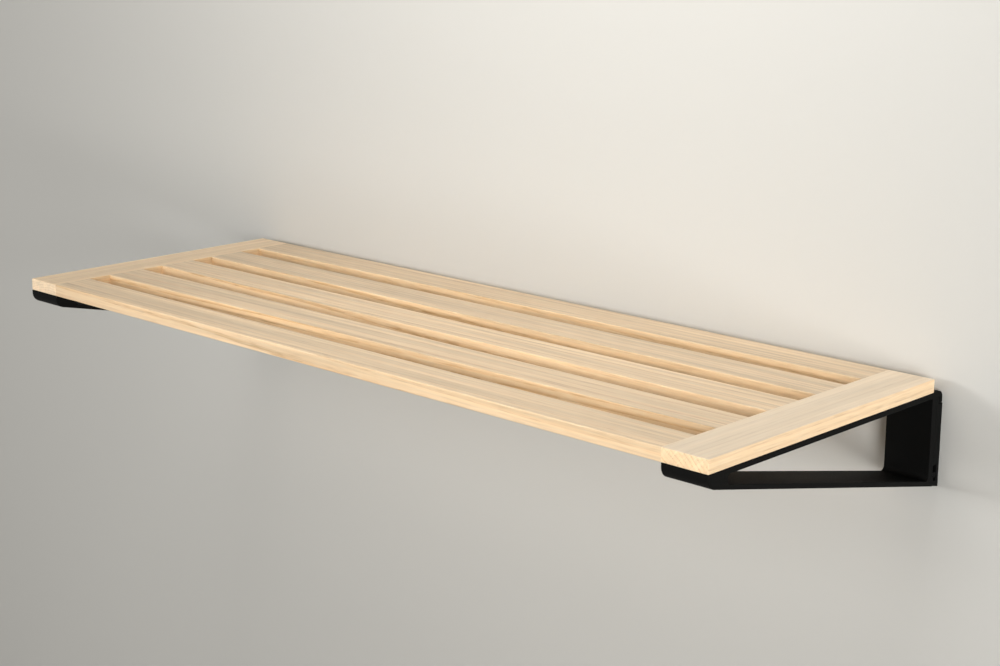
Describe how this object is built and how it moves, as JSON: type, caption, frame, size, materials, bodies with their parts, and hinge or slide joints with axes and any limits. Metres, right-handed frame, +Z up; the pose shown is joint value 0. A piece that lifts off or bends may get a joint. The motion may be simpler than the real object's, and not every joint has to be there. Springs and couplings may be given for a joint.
{
  "type": "wall shoe shelf",
  "caption": "Level wall shelf for shoes: open oak slats between end rails, on black wedge brackets with open triangles that hang on wall plates.",
  "frame": {"origin": "on the wall face, at the centre of the rectangle of four wall-screw holes", "axes": "+X along the wall to the viewer's right, +Y into the wall, +Z up"},
  "size_m": [0.8, 0.291, 0.0882],
  "materials": {
    "oak": "white-oiled, fine grain",
    "beech": "plain, turned",
    "black_aluminium": "satin black powder coat on extruded aluminium",
    "steel": "zinc plated"
  },
  "bodies": {
    "wall_plates": {"left_wall_plate": "black_aluminium", "right_wall_plate": "black_aluminium"},
    "shelf": {"slat_1": "oak", "slat_2": "oak", "slat_3": "oak", "slat_4": "oak", "slat_5": "oak", "left_end_rail": "oak", "left_dowels": "beech", "left_bracket": "black_aluminium", "left_bracket_screws": "steel", "right_end_rail": "oak", "right_dowels": "beech", "right_bracket": "black_aluminium", "right_bracket_screws": "steel"}
  },
  "joints": [
    {"name": "lift_off", "type": "slide", "parent": "wall_plates", "child": "shelf", "axis": [0, 0, 1], "range_m": [0, 0.0052]}
  ]
}
